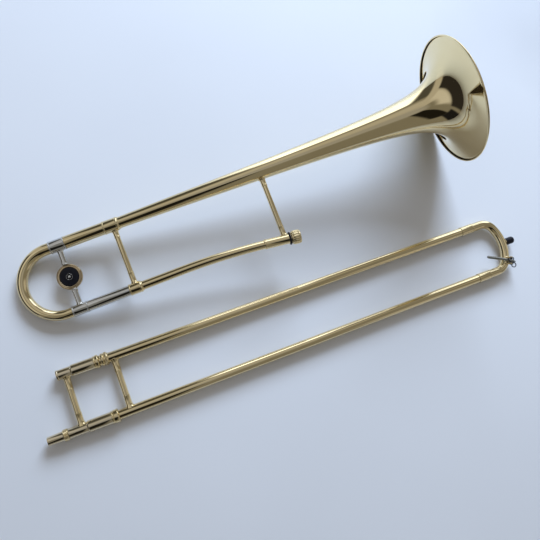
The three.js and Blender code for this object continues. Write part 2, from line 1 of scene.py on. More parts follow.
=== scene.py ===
"""A slide trombone in two halves on a pale table. Metres; +X runs along the hand slide, +Z is up."""
import json
import math

import bmesh
import bpy
import numpy as np
from mathutils import Matrix, Vector

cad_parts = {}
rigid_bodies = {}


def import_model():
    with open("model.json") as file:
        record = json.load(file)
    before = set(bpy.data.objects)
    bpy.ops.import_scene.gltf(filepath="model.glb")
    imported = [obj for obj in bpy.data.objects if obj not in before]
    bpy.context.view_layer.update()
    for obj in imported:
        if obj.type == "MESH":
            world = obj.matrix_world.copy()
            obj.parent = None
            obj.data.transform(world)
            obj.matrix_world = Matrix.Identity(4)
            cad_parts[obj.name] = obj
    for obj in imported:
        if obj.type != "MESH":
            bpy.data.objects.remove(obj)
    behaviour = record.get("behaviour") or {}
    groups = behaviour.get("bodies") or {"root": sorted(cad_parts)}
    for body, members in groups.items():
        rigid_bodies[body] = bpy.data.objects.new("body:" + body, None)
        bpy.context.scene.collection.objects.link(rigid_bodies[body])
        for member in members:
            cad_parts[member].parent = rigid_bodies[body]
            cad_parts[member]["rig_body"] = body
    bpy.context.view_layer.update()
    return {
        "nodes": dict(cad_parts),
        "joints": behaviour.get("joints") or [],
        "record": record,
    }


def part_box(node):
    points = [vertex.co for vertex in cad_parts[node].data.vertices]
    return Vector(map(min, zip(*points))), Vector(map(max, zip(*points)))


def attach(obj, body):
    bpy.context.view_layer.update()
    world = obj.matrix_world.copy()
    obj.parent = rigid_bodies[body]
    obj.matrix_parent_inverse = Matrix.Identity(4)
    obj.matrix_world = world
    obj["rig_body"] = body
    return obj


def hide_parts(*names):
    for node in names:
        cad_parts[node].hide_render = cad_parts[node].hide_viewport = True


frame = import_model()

MM = 0.001
JOINTS = {joint["name"]: joint for joint in frame["joints"]}
SLOTS = {part["node"]: part["material_slot"] for part in frame["record"]["subparts"]}


# ---- Measuring the frame ----
def unit(vector):
    vector = np.array(vector, float)
    return vector / np.linalg.norm(vector)


def node_points(node):
    vertices = frame["nodes"][node].data.vertices
    flat = np.empty(len(vertices) * 3)
    vertices.foreach_get("co", flat)
    return flat.reshape(-1, 3)


def node_centre(node):
    low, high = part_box(node)
    return np.array((low + high) / 2)


class Place:
    """A right-handed frame whose x runs along a piece's axis. Local lengths are metres."""

    def __init__(self, origin, x, y):
        self.origin = np.array(origin, float)
        self.x = unit(x)
        self.z = unit(np.cross(self.x, y))
        self.y = np.cross(self.z, self.x)
        self.axes = np.array([self.x, self.y, self.z])

    def world(self, local):
        return self.origin + np.asarray(local, float) @ self.axes

    def local(self, points):
        return (np.asarray(points, float) - self.origin) @ self.axes.T

    def moved(self, x=0.0, y=0.0, z=0.0):
        return Place(self.world([x, y, z]), self.x, self.y)

    def crosswise(self, side):
        """x points along this frame's y, or against it, for pieces that stand across a tube."""
        return Place(self.origin, side * self.y, -side * self.x)

    def upright(self):
        """x points along this frame's z."""
        return Place(self.origin, self.z, self.y)

    def span(self, node):
        x = self.local(node_points(node))[:, 0]
        return x.min(), x.max()

    def radii(self, node):
        """Bore and outside radius of a round CAD node about this axis."""
        local = self.local(node_points(node))
        r = np.hypot(local[:, 1], local[:, 2])
        return r.min(), r.max()

    def measure(self, node):
        """Start, end, bore and outside radius of a round CAD node."""
        return *self.span(node), *self.radii(node)


# The hand slide's legs lie along X, and their local x is the row frame's own X.
def leg_place(node):
    centre = node_centre(node)
    return Place([0, centre[1], centre[2]], [1, 0, 0], [0, 1, 0])


UPPER = leg_place("outer_tube_upper")
LOWER = leg_place("outer_tube_lower")
LEGS = {"upper": UPPER, "lower": LOWER}
LEG_Y = np.linalg.norm(UPPER.origin - LOWER.origin) / 2
SLIDE = Place((UPPER.origin + LOWER.origin) / 2, [1, 0, 0], [0, 1, 0])

# The bell section's frame is the tuning crook's: x along its legs and y from the neck to the bell.
CROOK_LEG = 14 * MM
BELL_AXIS = -np.array(JOINTS["tuning_slide_pull"]["axis"], float)
BELL_MIDDLE = Place(
    (node_centre("tuning_sleeve_bell") + node_centre("tuning_sleeve_neck")) / 2,
    BELL_AXIS,
    node_centre("tuning_sleeve_bell") - node_centre("tuning_sleeve_neck"),
)
CROOK = BELL_MIDDLE.moved(x=BELL_MIDDLE.span("tuning_crook")[1] - CROOK_LEG)
NECK_Y = CROOK.local(node_centre("tuning_sleeve_bell"))[1]
BELL_LEG = CROOK.moved(y=NECK_Y)
NECK_LEG = CROOK.moved(y=-NECK_Y)
RECEIVER = Place(JOINTS["bell_nut_turn"]["pos_m"], JOINTS["bell_nut_turn"]["axis"], CROOK.y)

# The bow starts with a straight leg, then bends in two radii: a corner at each leg and a crown between.
BOW_LEG = 17.6 * MM
BOW_CORNER_R = 23 * MM
BOW_CROWN_R = 65 * MM
BOW = SLIDE.moved(x=SLIDE.span("bow")[0] + BOW_LEG)
LOWER_CORNER = BOW.moved(y=-(LEG_Y - BOW_CORNER_R))

# The water key's frame: x outwards across the bow, z up.
KEY_AXIS = -np.array(JOINTS["water_key_press"]["axis"], float)
PIVOT = Place(JOINTS["water_key_press"]["pos_m"], np.cross(KEY_AXIS, [0, 0, 1]), KEY_AXIS)
KEY_HEIGHT = PIVOT.origin[2] - BOW.origin[2]
NOZZLE = Place([PIVOT.origin[0], PIVOT.origin[1], BOW.origin[2]], PIVOT.x, PIVOT.y)


# ---- Mesh building ----
class Skin:
    """Gathers rings of points into one mesh. A ring of one point is a pole."""

    def __init__(self):
        self.points = []
        self.faces = []
        self.uvs = []

    def add_rings(self, rings, closed=False):
        starts = []
        for ring in rings:
            starts.append(len(self.points))
            self.points.extend(ring)
        lengths = [0.0]
        middles = [np.mean(ring, axis=0) for ring in rings]
        edges = [ring[0] for ring in rings]
        for a, b in zip(edges, edges[1:]):
            lengths.append(lengths[-1] + float(np.linalg.norm(np.subtract(b, a))))
        pairs = list(zip(range(len(rings)), range(1, len(rings))))
        if closed:
            pairs.append((len(rings) - 1, 0))
            lengths.append(lengths[-1])
        count = max(len(ring) for ring in rings)
        girth = max(
            2 * math.pi * float(np.linalg.norm(np.subtract(edge, middle)))
            for edge, middle in zip(edges, middles)
        )
        for i, j in pairs:
            v0, v1 = lengths[i], lengths[i + 1]
            for k in range(count):
                n = (k + 1) % count
                u0, u1 = girth * k / count, girth * (k + 1) / count
                a0, a1 = starts[i] + k, starts[i] + n
                b0, b1 = starts[j] + k, starts[j] + n
                if len(rings[i]) == 1:
                    self.faces.append((starts[i], b0, b1))
                    self.uvs.extend([((u0 + u1) / 2, v0), (u0, v1), (u1, v1)])
                elif len(rings[j]) == 1:
                    self.faces.append((a0, starts[j], a1))
                    self.uvs.extend([(u0, v0), ((u0 + u1) / 2, v1), (u1, v0)])
                else:
                    self.faces.append((a0, b0, b1, a1))
                    self.uvs.extend([(u0, v0), (u0, v1), (u1, v1), (u1, v0)])
        return self

    def mesh(self, name):
        mesh = bpy.data.meshes.new(name)
        mesh.from_pydata([tuple(p) for p in self.points], [], self.faces)
        layer = mesh.uv_layers.new(name="metres")
        layer.data.foreach_set("uv", np.array(self.uvs, np.float32).ravel())
        mesh.polygons.foreach_set("use_smooth", [True] * len(mesh.polygons))
        mesh.validate()
        return mesh


def add_object(name, data):
    thing = bpy.data.objects.new(name, data)
    bpy.context.scene.collection.objects.link(thing)
    return thing


def add_piece(name, skin, material, body, nodes):
    """A piece that rides on a body and stands for CAD nodes, if there are any that it replaces."""
    piece = add_object(name, skin.mesh(name))
    piece.data.materials.append(material)
    face_outwards(piece.data)
    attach(piece, body)
    if nodes:
        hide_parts(*nodes)


def face_outwards(mesh):
    """Turns the faces round if the closed mesh is inside out."""
    shape = bmesh.new()
    shape.from_mesh(mesh)
    if shape.calc_volume(signed=True) < 0:
        bmesh.ops.reverse_faces(shape, faces=shape.faces)
        shape.to_mesh(mesh)
    shape.free()


def soften(profile, radius, steps=4, closed=True):
    """Rounds a profile's corners with short curves, so that edges catch the light."""
    points = [np.array(p, float) for p in profile]
    count = len(points)
    result = []
    for i, painted_shade_slope in enumerate(points):
        if not closed and i in (0, count - 1):
            result.append(painted_shade_slope)
            continue
        before, after = points[i - 1], points[(i + 1) % count]
        to_before, to_after = before - painted_shade_slope, after - painted_shade_slope
        reach = min(radius, 0.45 * np.linalg.norm(to_before), 0.45 * np.linalg.norm(to_after))
        straight = abs(np.cross(unit(to_before), unit(to_after))) < 0.02
        if straight:
            result.append(painted_shade_slope)
            continue
        start = painted_shade_slope + unit(to_before) * reach
        end = painted_shade_slope + unit(to_after) * reach
        for t in np.linspace(0, 1, steps + 1):
            result.append((1 - t) ** 2 * start + 2 * t * (1 - t) * painted_shade_slope + t**2 * end)
    return result


def ring_points(place, x, r, segments, ripple=None):
    angle = np.linspace(0, 2 * math.pi, segments, endpoint=False)
    reach = r if ripple is None else r - ripple(angle, x, r)
    reach = np.broadcast_to(reach, angle.shape)
    local = np.stack([np.full(segments, x), reach * np.cos(angle), reach * np.sin(angle)], axis=1)
    return place.world(local)


def lathe(place, profile, segments=72, ripple=None, skin=None):
    """A closed profile of (x, radius) turned about the place's x axis."""
    rings = [ring_points(place, x, r, segments, ripple) for x, r in profile]
    return (skin or Skin()).add_rings(rings, closed=True)


def solid_lathe(place, profile, segments=48, skin=None):
    """A profile that starts and ends on the axis."""
    rings = [[place.world([profile[0][0], 0, 0])]]
    rings += [ring_points(place, x, r, segments) for x, r in profile]
    rings.append([place.world([profile[-1][0], 0, 0])])
    return (skin or Skin()).add_rings(rings)


def frames_along(path):
    """Tangent and two normals at each point of a path, without twist."""
    path = np.asarray(path, float)
    tangents = np.gradient(path, axis=0)
    tangents /= np.linalg.norm(tangents, axis=1)[:, None]
    normal = np.cross(tangents[0], [0.3, 0.5, 0.81])
    normals = []
    for tangent in tangents:
        normal = unit(normal - tangent * np.dot(normal, tangent))
        normals.append(normal)
    return tangents, np.array(normals)


def sweep(path, radii, segments=48, bore=None, squeeze=None, skin=None):
    """A round section along a path in the row frame, hollow where a bore ratio is given.
    squeeze is the section's height over its width, where it isn't round."""
    path = np.asarray(path, float)
    tangents, normals = frames_along(path)
    angle = np.linspace(0, 2 * math.pi, segments, endpoint=False)
    across = np.cross(tangents, normals)
    if squeeze is not None:
        across = np.cross(tangents, [0, 0, 1.0])
        across /= np.linalg.norm(across, axis=1)[:, None]
        normals = np.cross(across, tangents)
    else:
        squeeze = np.ones(len(path))

    def ring(i, scale=1.0, shift=0.0):
        r = radii[i] * scale
        tall = r * squeeze[i]
        return (
            path[i]
            + tangents[i] * shift
            + np.outer(np.cos(angle) * tall, normals[i])
            + np.outer(np.sin(angle) * r, across[i])
        )

    last = len(path) - 1
    outside = [ring(i) for i in range(last + 1)]
    if bore is not None:
        inside = [ring(i, bore) for i in range(last, -1, -1)]
        return (skin or Skin()).add_rings(outside + inside, closed=True)
    domes = [(0.92, 0.36), (0.71, 0.7), (0.38, 0.92)]
    start = [[path[0] - tangents[0] * radii[0]]]
    start += [ring(0, wide, -radii[0] * deep) for wide, deep in reversed(domes)]
    end = [ring(last, wide, radii[last] * deep) for wide, deep in domes]
    end.append([path[last] + tangents[last] * radii[last]])
    return (skin or Skin()).add_rings(start + outside + end)


def smooth_path(points, count):
    """A Catmull-Rom curve through a few points."""
    points = [np.array(p, float) for p in points]
    points = [2 * points[0] - points[1], *points, 2 * points[-1] - points[-2]]
    result = []
    pieces = len(points) - 3
    for s in np.linspace(0, pieces, count):
        i = min(int(s), pieces - 1)
        t = s - i
        a, b, c, d = points[i : i + 4]
        bend, twist = 2 * a - 5 * b + 4 * c - d, 3 * b - a - 3 * c + d
        result.append(0.5 * (2 * b + (c - a) * t + bend * t**2 + twist * t**3))
    return np.array(result)


# ---- Materials ----
class Nodes:
    """Short calls for building the nodes of a material or a world."""

    def __init__(self, owner, shader="Principled BSDF"):
        owner.use_nodes = True
        self.owner = owner
        self.tree = owner.node_tree
        self.shader = self.tree.nodes[shader]

    def feed(self, value, socket):
        if isinstance(value, (int, float, tuple)):
            socket.default_value = value
        else:
            self.tree.links.new(value, socket)

    def new(self, kind, inputs=None, **settings):
        """inputs gives numbers, colours or other nodes' outputs by the name or number of the socket."""
        node = self.tree.nodes.new(kind)
        for key, value in settings.items():
            setattr(node, key, value)
        for key, value in (inputs or {}).items():
            self.feed(value, node.inputs[key])
        return node

    def coordinates(self, which, scale):
        source = self.new("ShaderNodeTexCoord").outputs[which]
        return self.new("ShaderNodeMapping", {"Vector": source, "Scale": scale}).outputs["Vector"]

    def noise(self, vector, scale, detail=3.0, rough=0.5):
        inputs = {"Vector": vector, "Scale": scale, "Detail": detail, "Roughness": rough}
        return self.new("ShaderNodeTexNoise", inputs).outputs["Fac"]

    def ramp(self, value, stops):
        node = self.new("ShaderNodeValToRGB", {"Fac": value})
        for element, (position, colour) in zip(node.color_ramp.elements, stops):
            element.position = position
            element.color = (*colour, 1.0)
        for position, colour in stops[2:]:
            node.color_ramp.elements.new(position).color = (*colour, 1.0)
        return node.outputs["Color"]

    def levels(self, value, low, high, out_low=0.0, out_high=1.0, **settings):
        ends = {"From Min": low, "From Max": high, "To Min": out_low, "To Max": out_high}
        return self.new("ShaderNodeMapRange", {"Value": value, **ends}, **settings).outputs["Result"]

    def maths(self, operation, *values):
        return self.new("ShaderNodeMath", dict(enumerate(values)), operation=operation).outputs["Value"]

    def bump(self, height, distance, strength, **before):
        inputs = {"Height": height, "Distance": distance, "Strength": strength, **before}
        return self.new("ShaderNodeBump", inputs).outputs["Normal"]

    def set(self, **values):
        """Puts a number or colour, or a node's output, into each named socket of the shader."""
        for key, value in values.items():
            self.feed(value, self.shader.inputs[key.replace("_", " ")])


def material_nodes(name):
    m = Nodes(bpy.data.materials.new(name))
    return m, m.coordinates("Object", (1, 1, 1))


def polished_metal(name, bright, deep, smooth, worn, coat=0.0):
    """Mirror-polished sheet metal: two close tones, faint handling marks and fine polishing lines."""
    m, surface = material_nodes(name)
    m.set(Metallic=1.0, Base_Color=m.ramp(m.noise(surface, 14.0, 4.0), [(0.3, deep), (0.62, bright)]))
    smears = m.levels(m.noise(surface, 60.0, 5.0, 0.62), 0.45, 0.75)
    spots = m.levels(m.noise(surface, 420.0, 2.0), 0.35, 0.7, 0.4, 1.0)
    m.set(Roughness=m.levels(m.maths("MULTIPLY", smears, spots), 0.0, 1.0, smooth, worn))
    lines = m.noise(m.coordinates("UV", (1400.0, 25.0, 1.0)), 1.0, 2.0)
    waves = m.bump(m.noise(surface, 26.0, 1.0), 0.00025, 0.35)
    m.set(Normal=m.bump(lines, 0.000004, 0.5, Normal=waves))
    if coat:
        m.set(Coat_Weight=coat, Coat_Roughness=0.04, Coat_IOR=1.5, Coat_Tint=(1.0, 0.96, 0.86, 1.0))
    return m.owner


def mottled(name, tones, rough, grain, **settings):
    """A plain material of two tones. tones, rough and grain each start with their noise's scale and
    detail; then come the tones, the roughness at each end, or the bump's distance and strength."""
    m, surface = material_nodes(name)
    scale, detail, dark, light = tones
    m.set(Base_Color=m.ramp(m.noise(surface, scale, detail), [(0.3, dark), (0.7, light)]))
    scale, detail, low, high = rough
    m.set(Roughness=m.levels(m.noise(surface, scale, detail), 0.3, 0.7, low, high))
    scale, detail, distance, strength = grain
    m.set(Normal=m.bump(m.noise(surface, scale, detail), distance, strength), **settings)
    return m.owner


def natural_cork():
    m, surface = material_nodes("natural_cork")
    grain = m.noise(surface, 900.0, 5.0, 0.65)
    tones = [(0.32, (0.16, 0.08, 0.035)), (0.48, (0.42, 0.26, 0.13)), (0.7, (0.58, 0.40, 0.22))]
    m.set(Base_Color=m.ramp(grain, tones), Roughness=m.levels(grain, 0.3, 0.7, 0.95, 0.75))
    m.set(Normal=m.bump(grain, 0.0004, 0.6))
    return m.owner


LACQUER = polished_metal("lacquered_brass", (0.87, 0.735, 0.45), (0.82, 0.68, 0.395), 0.04, 0.12, 0.15)
PALE = polished_metal("pale_brass", (0.84, 0.745, 0.545), (0.78, 0.68, 0.475), 0.04, 0.12, 0.15)
NICKEL = polished_metal("nickel_silver", (0.74, 0.74, 0.715), (0.66, 0.66, 0.635), 0.07, 0.18)
TARNISHED = polished_metal("tarnished_nickel", (0.36, 0.37, 0.35), (0.28, 0.29, 0.275), 0.34, 0.5)
BRONZE = polished_metal("dark_bronze", (0.62, 0.50, 0.33), (0.48, 0.37, 0.23), 0.1, 0.22)
CHROME = polished_metal("hard_chrome", (0.80, 0.81, 0.83), (0.74, 0.75, 0.78), 0.03, 0.09)
BY_SLOT = {
    "lacquer": LACQUER,
    "nickel": NICKEL,
    "chrome": CHROME,
    "steel": mottled(
        "spring_steel", (180.0, 4.0, (0.06, 0.065, 0.08), (0.13, 0.135, 0.16)), (700.0, 3.0, 0.24, 0.42),
        (2500.0, 2.0, 0.00002, 0.4), Metallic=1.0,
    ),
    "rubber": mottled(
        "black_rubber", (240.0, 4.0, (0.003, 0.003, 0.006), (0.008, 0.008, 0.013)), (500.0, 4.0, 0.3, 0.5),
        (1800.0, 3.0, 0.00006, 0.5), Specular_IOR_Level=0.3,
    ),
    "enamel": mottled(
        "black_enamel", (300.0, 3.0, (0.002, 0.002, 0.004), (0.006, 0.006, 0.010)),
        (900.0, 3.0, 0.12, 0.26), (350.0, 2.0, 0.00004, 0.3),
        Specular_IOR_Level=0.2, Coat_Weight=0.1, Coat_Roughness=0.03,
    ),
    "cork": natural_cork(),
}


def dress(node, skin, material=None):
    """One smooth piece in place of one CAD node, in that node's finish unless another is given."""
    material = material or BY_SLOT[SLOTS[node]]
    add_piece(f"{node}_surface", skin, material, frame["nodes"][node]["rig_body"], [node])


# ---- Plain tubes and turned pieces ----
def offsets(*rows):
    """Profile points, each given as a station and millimetres from it, then a radius and millimetres."""
    return [(x + dx * MM, r + dr * MM) for x, dx, r, dr in rows]


def wire_profile(x, r, wire):
    """The round section of a wire bent to radius r."""
    around = np.linspace(0, 2 * math.pi, 12, endpoint=False)
    return [(x + wire * math.cos(a), r + wire * math.sin(a)) for a in around]


def turn(node, place, profile, edge, material=None, segments=96):
    """A hollow turned piece in place of a CAD node. edge is the rounding of its corners."""
    dress(node, lathe(place, soften(profile, edge), segments), material)


def pipe_profile(place, node, edge=0.25 * MM):
    start, end, bore, outer = place.measure(node)
    return soften([(start, outer), (end, outer), (end, bore), (start, bore)], edge)


def dress_pipe(node, place, segments=72):
    dress(node, lathe(place, pipe_profile(place, node), segments))


def ferrule_profile(start, end, outer, bore, bead=0.35 * MM):
    """A sleeve with a raised bead inside each end and a fine groove beside it."""
    step = 1.6 * MM
    return soften(
        [
            (start, outer - bead), (start + 0.5 * MM, outer), (start + step, outer),
            (start + step + 0.3 * MM, outer - bead), (end - step - 0.3 * MM, outer - bead),
            (end - step, outer), (end - 0.5 * MM, outer), (end, outer - bead),
            (end, bore), (start, bore),
        ],
        0.25 * MM,
    )


def build_slide_legs():
    for side, place in LEGS.items():
        dress_pipe(f"outer_tube_{side}", place, 96)
        dress_pipe(f"barrel_cork_{side}", place)

        node = f"inner_tube_{side}"
        start, end, bore, stocking = place.measure(node)
        drawn = stocking - 0.1 * MM
        swell = end - 130 * MM
        profile = [
            (start, drawn), (swell, drawn), (swell + 4 * MM, stocking), (end, stocking),
            (end, bore), (start, bore),
        ]
        dress(node, lathe(place, soften(profile, 0.3 * MM), 80))

        node = f"bow_ferrule_{side}"
        start, end, bore, outer = place.measure(node)
        dress(node, lathe(place, ferrule_profile(start, end, outer, bore, 0.15 * MM), 96))

        build_barrel(side, place)


def build_barrel(side, place):
    node = f"cork_barrel_{side}"
    start, end, bore, outer = place.measure(node)
    hollow = 8.1 * MM
    profile = [
        (start, outer - 1.1 * MM), (start + 1.6 * MM, outer), (end, outer), (end, hollow),
        (start + 2 * MM, hollow), (start + 2 * MM, bore), (start, bore),
    ]
    turn(node, place, profile, 0.5 * MM, PALE)

    node = f"barrel_ring_{side}"
    start, end, bore, outer = place.measure(node)
    outer -= 0.1 * MM
    low = outer - 0.95 * MM
    profile = offsets(
        (start, 0, bore, 0), (start, 0, low, 0), (start, 0.5, low, 0.35), (start, 1.9, low, 0.35),
        (start, 2.4, low, -0.1), (start, 3.0, low, -0.1), (start, 3.7, outer, 0), (end, -0.9, outer, 0),
        (end, 0, outer, -0.7), (end, 0, bore, 0),
    )
    turn(node, place, profile, 0.4 * MM)


def build_mouthpiece_end():
    node = "mouthpiece_receiver"
    start, end, bore, outer = UPPER.measure(node)
    body = outer - 0.4 * MM
    socket_end = start + 17.5 * MM
    inner_r = UPPER.radii("inner_tube_upper")[1] + 0.25 * MM
    profile = offsets(
        (start, 0, outer, -0.2), (start, 0.6, outer, 0), (start, 2.2, outer, 0), (start, 2.9, body, 0),
        (end, 0, body, 0), (end, 0, inner_r, 0), (socket_end, 0, inner_r, 0), (socket_end, 0, bore, 0),
        (start, 0, bore, 0.35),
    )
    turn(node, UPPER, profile, 0.35 * MM, PALE)
    dress_pipe("leadpipe", UPPER)


def build_shank_end():
    node = "slide_shank"
    start, end, bore, outer = LOWER.measure(node)
    collar_start, collar_end = LOWER.span("shank_collar")
    slim = LOWER.radii("shank_collar")[0] - 0.25 * MM
    inner_r = LOWER.radii("inner_tube_lower")[1] + 0.2 * MM
    inner_start = LOWER.span("inner_tube_lower")[0] - 0.3 * MM
    profile = [
        (start, 6.5 * MM), (collar_start - 2 * MM, slim), (collar_end + 0.3 * MM, slim),
        (collar_end + 0.3 * MM, outer), (end, outer), (end, inner_r), (inner_start, inner_r),
        (inner_start, bore), (start, bore),
    ]
    turn(node, LOWER, profile, 0.3 * MM, PALE)

    bore, outer = LOWER.radii("shank_collar")
    threads = 7
    pitch = (collar_end - collar_start - 1.2 * MM) / threads
    crests = [(collar_start, bore), (collar_start, outer - 0.5 * MM)]
    for i in range(threads):
        x = collar_start + 0.6 * MM + i * pitch
        crests += [(x + 0.25 * pitch, outer), (x + 0.45 * pitch, outer)]
        crests.append((x + 0.85 * pitch, outer - 0.35 * MM))
    crests += [(collar_end, outer - 0.5 * MM), (collar_end, bore)]
    dress("shank_collar", lathe(LOWER, soften(crests, 0.08 * MM, 2), 96))


def knurl(count, depth, start, end, floor):
    """Straight flutes between two stations, fading out at their ends, on what stands above a radius."""

    def ripple(angle, x, r):
        inside = np.clip(min(x - start, end - x) / (0.8 * MM), 0.0, 1.0)
        flute = 0.5 - 0.5 * np.cos(count * angle)
        return depth * inside * flute**3 * (r > floor)

    return ripple


def build_slide_lock():
    node = "lock_ring"
    start, end, bore, outer = UPPER.measure(node)
    groove = start + 4.4 * MM
    profile = [
        (start, bore), (start, outer - 0.9 * MM), (start + 1.0 * MM, outer - 0.3 * MM),
        (groove - 1.2 * MM, outer - 0.3 * MM), (groove - 0.5 * MM, outer - 1.0 * MM),
        (groove + 0.1 * MM, outer - 1.0 * MM), (groove + 0.9 * MM, outer),
        *[(groove + (0.9 + 0.35 * i) * MM, outer) for i in range(1, 10)],
        (end - 1.2 * MM, outer), (end, outer - 1.0 * MM), (end, bore),
    ]
    flutes = knurl(40, 0.45 * MM, groove + 0.9 * MM, end - 1.0 * MM, outer - 0.3 * MM)
    dress(node, lathe(UPPER, soften(profile, 0.2 * MM, 3), 480, flutes))

    node = "lock_ferrule"
    start, end, bore, outer = UPPER.measure(node)
    profile = offsets(
        (start, 0, bore, 0), (start, 0, outer, -0.2), (start, 0.4, outer, 0), (start, 2.2, outer, 0),
        (start, 2.5, outer, -0.15), (end, -0.4, outer, -0.15), (end, 0, bore, 0),
    )
    turn(node, UPPER, profile, 0.2 * MM)


# ---- Bends ----
def u_bend(place, half, leg, side, painted_shade_slope, crown, count):
    """Points of a bend with straight legs, from the +y leg to the -y leg. Each half turns in a corner
    and then a crown; where the corner is half the bend's width, it is a plain half circle."""
    turn = math.asin((half - painted_shade_slope) / (crown - painted_shade_slope)) if half > painted_shade_slope else 0.0
    depth = (crown - painted_shade_slope) * math.cos(turn)
    corner_arc = painted_shade_slope * (math.pi / 2 - turn)
    length = 2 * (leg + corner_arc + crown * turn)
    points = []
    for s in np.linspace(0, length, count):
        along = min(s, length - s) - leg
        if along < 0:
            x, y = along, half
        elif along < corner_arc:
            angle = math.pi / 2 - along / painted_shade_slope
            x, y = painted_shade_slope * math.cos(angle), half - painted_shade_slope + painted_shade_slope * math.sin(angle)
        else:
            angle = turn - (along - corner_arc) / crown
            x, y = crown * math.cos(angle) - depth, crown * math.sin(angle)
        points.append([side * x, y if 2 * s < length else -y, 0])
    return place.world(points)


def build_bow():
    outer = UPPER.radii("outer_tube_upper")[1]
    path = u_bend(BOW, LEG_Y, BOW_LEG, 1, BOW_CORNER_R, BOW_CROWN_R, 160)
    dress("bow", sweep(path, np.full(len(path), outer), 72, bore=0.935))

    node = "bumper_base"
    end = BOW.span(node)[1]
    rim = BOW.radii(node)[1]
    seat = BOW.span("bow")[1] - 2.6 * MM
    profile = [(seat, rim), (end - 0.5 * MM, rim), (end, rim - 0.4 * MM)]
    dress(node, solid_lathe(BOW, soften(profile, 0.2 * MM, closed=False), 64))

    node = "bumper_tip"
    face, end = BOW.span(node)
    outer = BOW.radii(node)[1]
    start = face - 1.9 * MM
    profile = offsets(
        (face, 0, 0, 1.0), (face, 0, rim, 0.1), (start, 0, rim, 0.1), (start, 0, outer, -0.6),
        (start, 0.6, outer, 0), (end, -3.6, outer, 0), (end, -1.6, outer, -0.6), (end, -0.3, outer, -2.2),
        (end, 0, outer, -3.6), (end, -0.2, 0, 1.0), (end, -1.2, 0, 0.8),
    )
    dress(node, solid_lathe(BOW, soften(profile, 0.7 * MM, 5, closed=False), 72))


def build_tuning_slide():
    bell_r = BELL_LEG.radii("tuning_leg_bell")[1] + 0.14 * MM
    neck_r = NECK_LEG.radii("tuning_leg_neck")[1] + 0.3 * MM
    path = u_bend(CROOK, NECK_Y, CROOK_LEG, -1, NECK_Y, NECK_Y, 160)
    along = np.clip((np.linspace(0, 1, 160) - 0.08) / 0.84, 0, 1)
    dress("tuning_crook", sweep(path, bell_r + (neck_r - bell_r) * along, 80, bore=0.94))
    for side, place in (("bell", BELL_LEG), ("neck", NECK_LEG)):
        dress_pipe(f"tuning_leg_{side}", place, 80)
        node = f"crook_ferrule_{side}"
        start, end, bore, outer = place.measure(node)
        dress(node, lathe(place, ferrule_profile(start, end, outer, bore - 0.2 * MM, 0.3 * MM), 96))
    build_medallion()


def build_bell_tubes():
    dress_pipe("tuning_sleeve_bell", BELL_LEG, 96)
    dress_pipe("tuning_sleeve_neck", NECK_LEG, 96)

    node = "bell_ferrule"
    start, end, bore, outer = BELL_LEG.measure(node)
    sleeve = BELL_LEG.radii("tuning_sleeve_bell")[1] + 0.1 * MM
    step = BELL_LEG.span("tuning_sleeve_bell")[1] + 0.2 * MM
    profile = offsets(
        (start, 0, sleeve, 0), (start, 0, outer, -0.45), (start, 0.5, outer, -0.1),
        (start, 1.6, outer, -0.1), (start, 2.1, outer, -0.4), (end, -4.5, outer, -0.4),
        (end, -3.9, outer, 0), (end, -2.4, outer, -0.1), (end, -1.2, outer, -0.9), (end, 0, bore, 0.4),
        (end, 0, bore, -0.2), (step, 0, bore, 0), (step, 0, sleeve, 0),
    )
    turn(node, BELL_LEG, profile, 0.3 * MM)

    node = "neck_ferrule"
    start, end, bore, outer = NECK_LEG.measure(node)
    sleeve = NECK_LEG.radii("tuning_sleeve_neck")[1] + 0.1 * MM
    step = NECK_LEG.span("tuning_sleeve_neck")[1] + 0.2 * MM
    profile = offsets(
        (start, 0, sleeve, 0), (start, 0, outer, -0.35), (start, 0.5, outer, 0), (start, 1.6, outer, 0),
        (start, 2.0, outer, -0.3), (end, -4.6, outer, -0.3), (end, -4.0, outer, 0), (end, -2.8, outer, 0),
        (end, -1.4, outer, -1.2), (end, 0, bore, 0.35), (end, 0, bore, -0.2), (step, 0, bore, 0),
        (step, 0, sleeve, 0),
    )
    turn(node, NECK_LEG, profile, 0.3 * MM)


NECK_BEND_X = 180 * MM
NECK_BEND_R = 1.05


def build_neck():
    start, end = NECK_LEG.span("gooseneck")
    outer = NECK_LEG.radii("neck_ferrule")[0] - 0.25 * MM
    x = np.linspace(start, end, 80)
    past = np.clip(x - NECK_BEND_X, 0, None)
    path = NECK_LEG.world(np.stack([x, -past**2 / (2 * NECK_BEND_R), np.zeros(80)], axis=1))
    dress("gooseneck", sweep(path, np.full(80, outer), 72, bore=0.93))


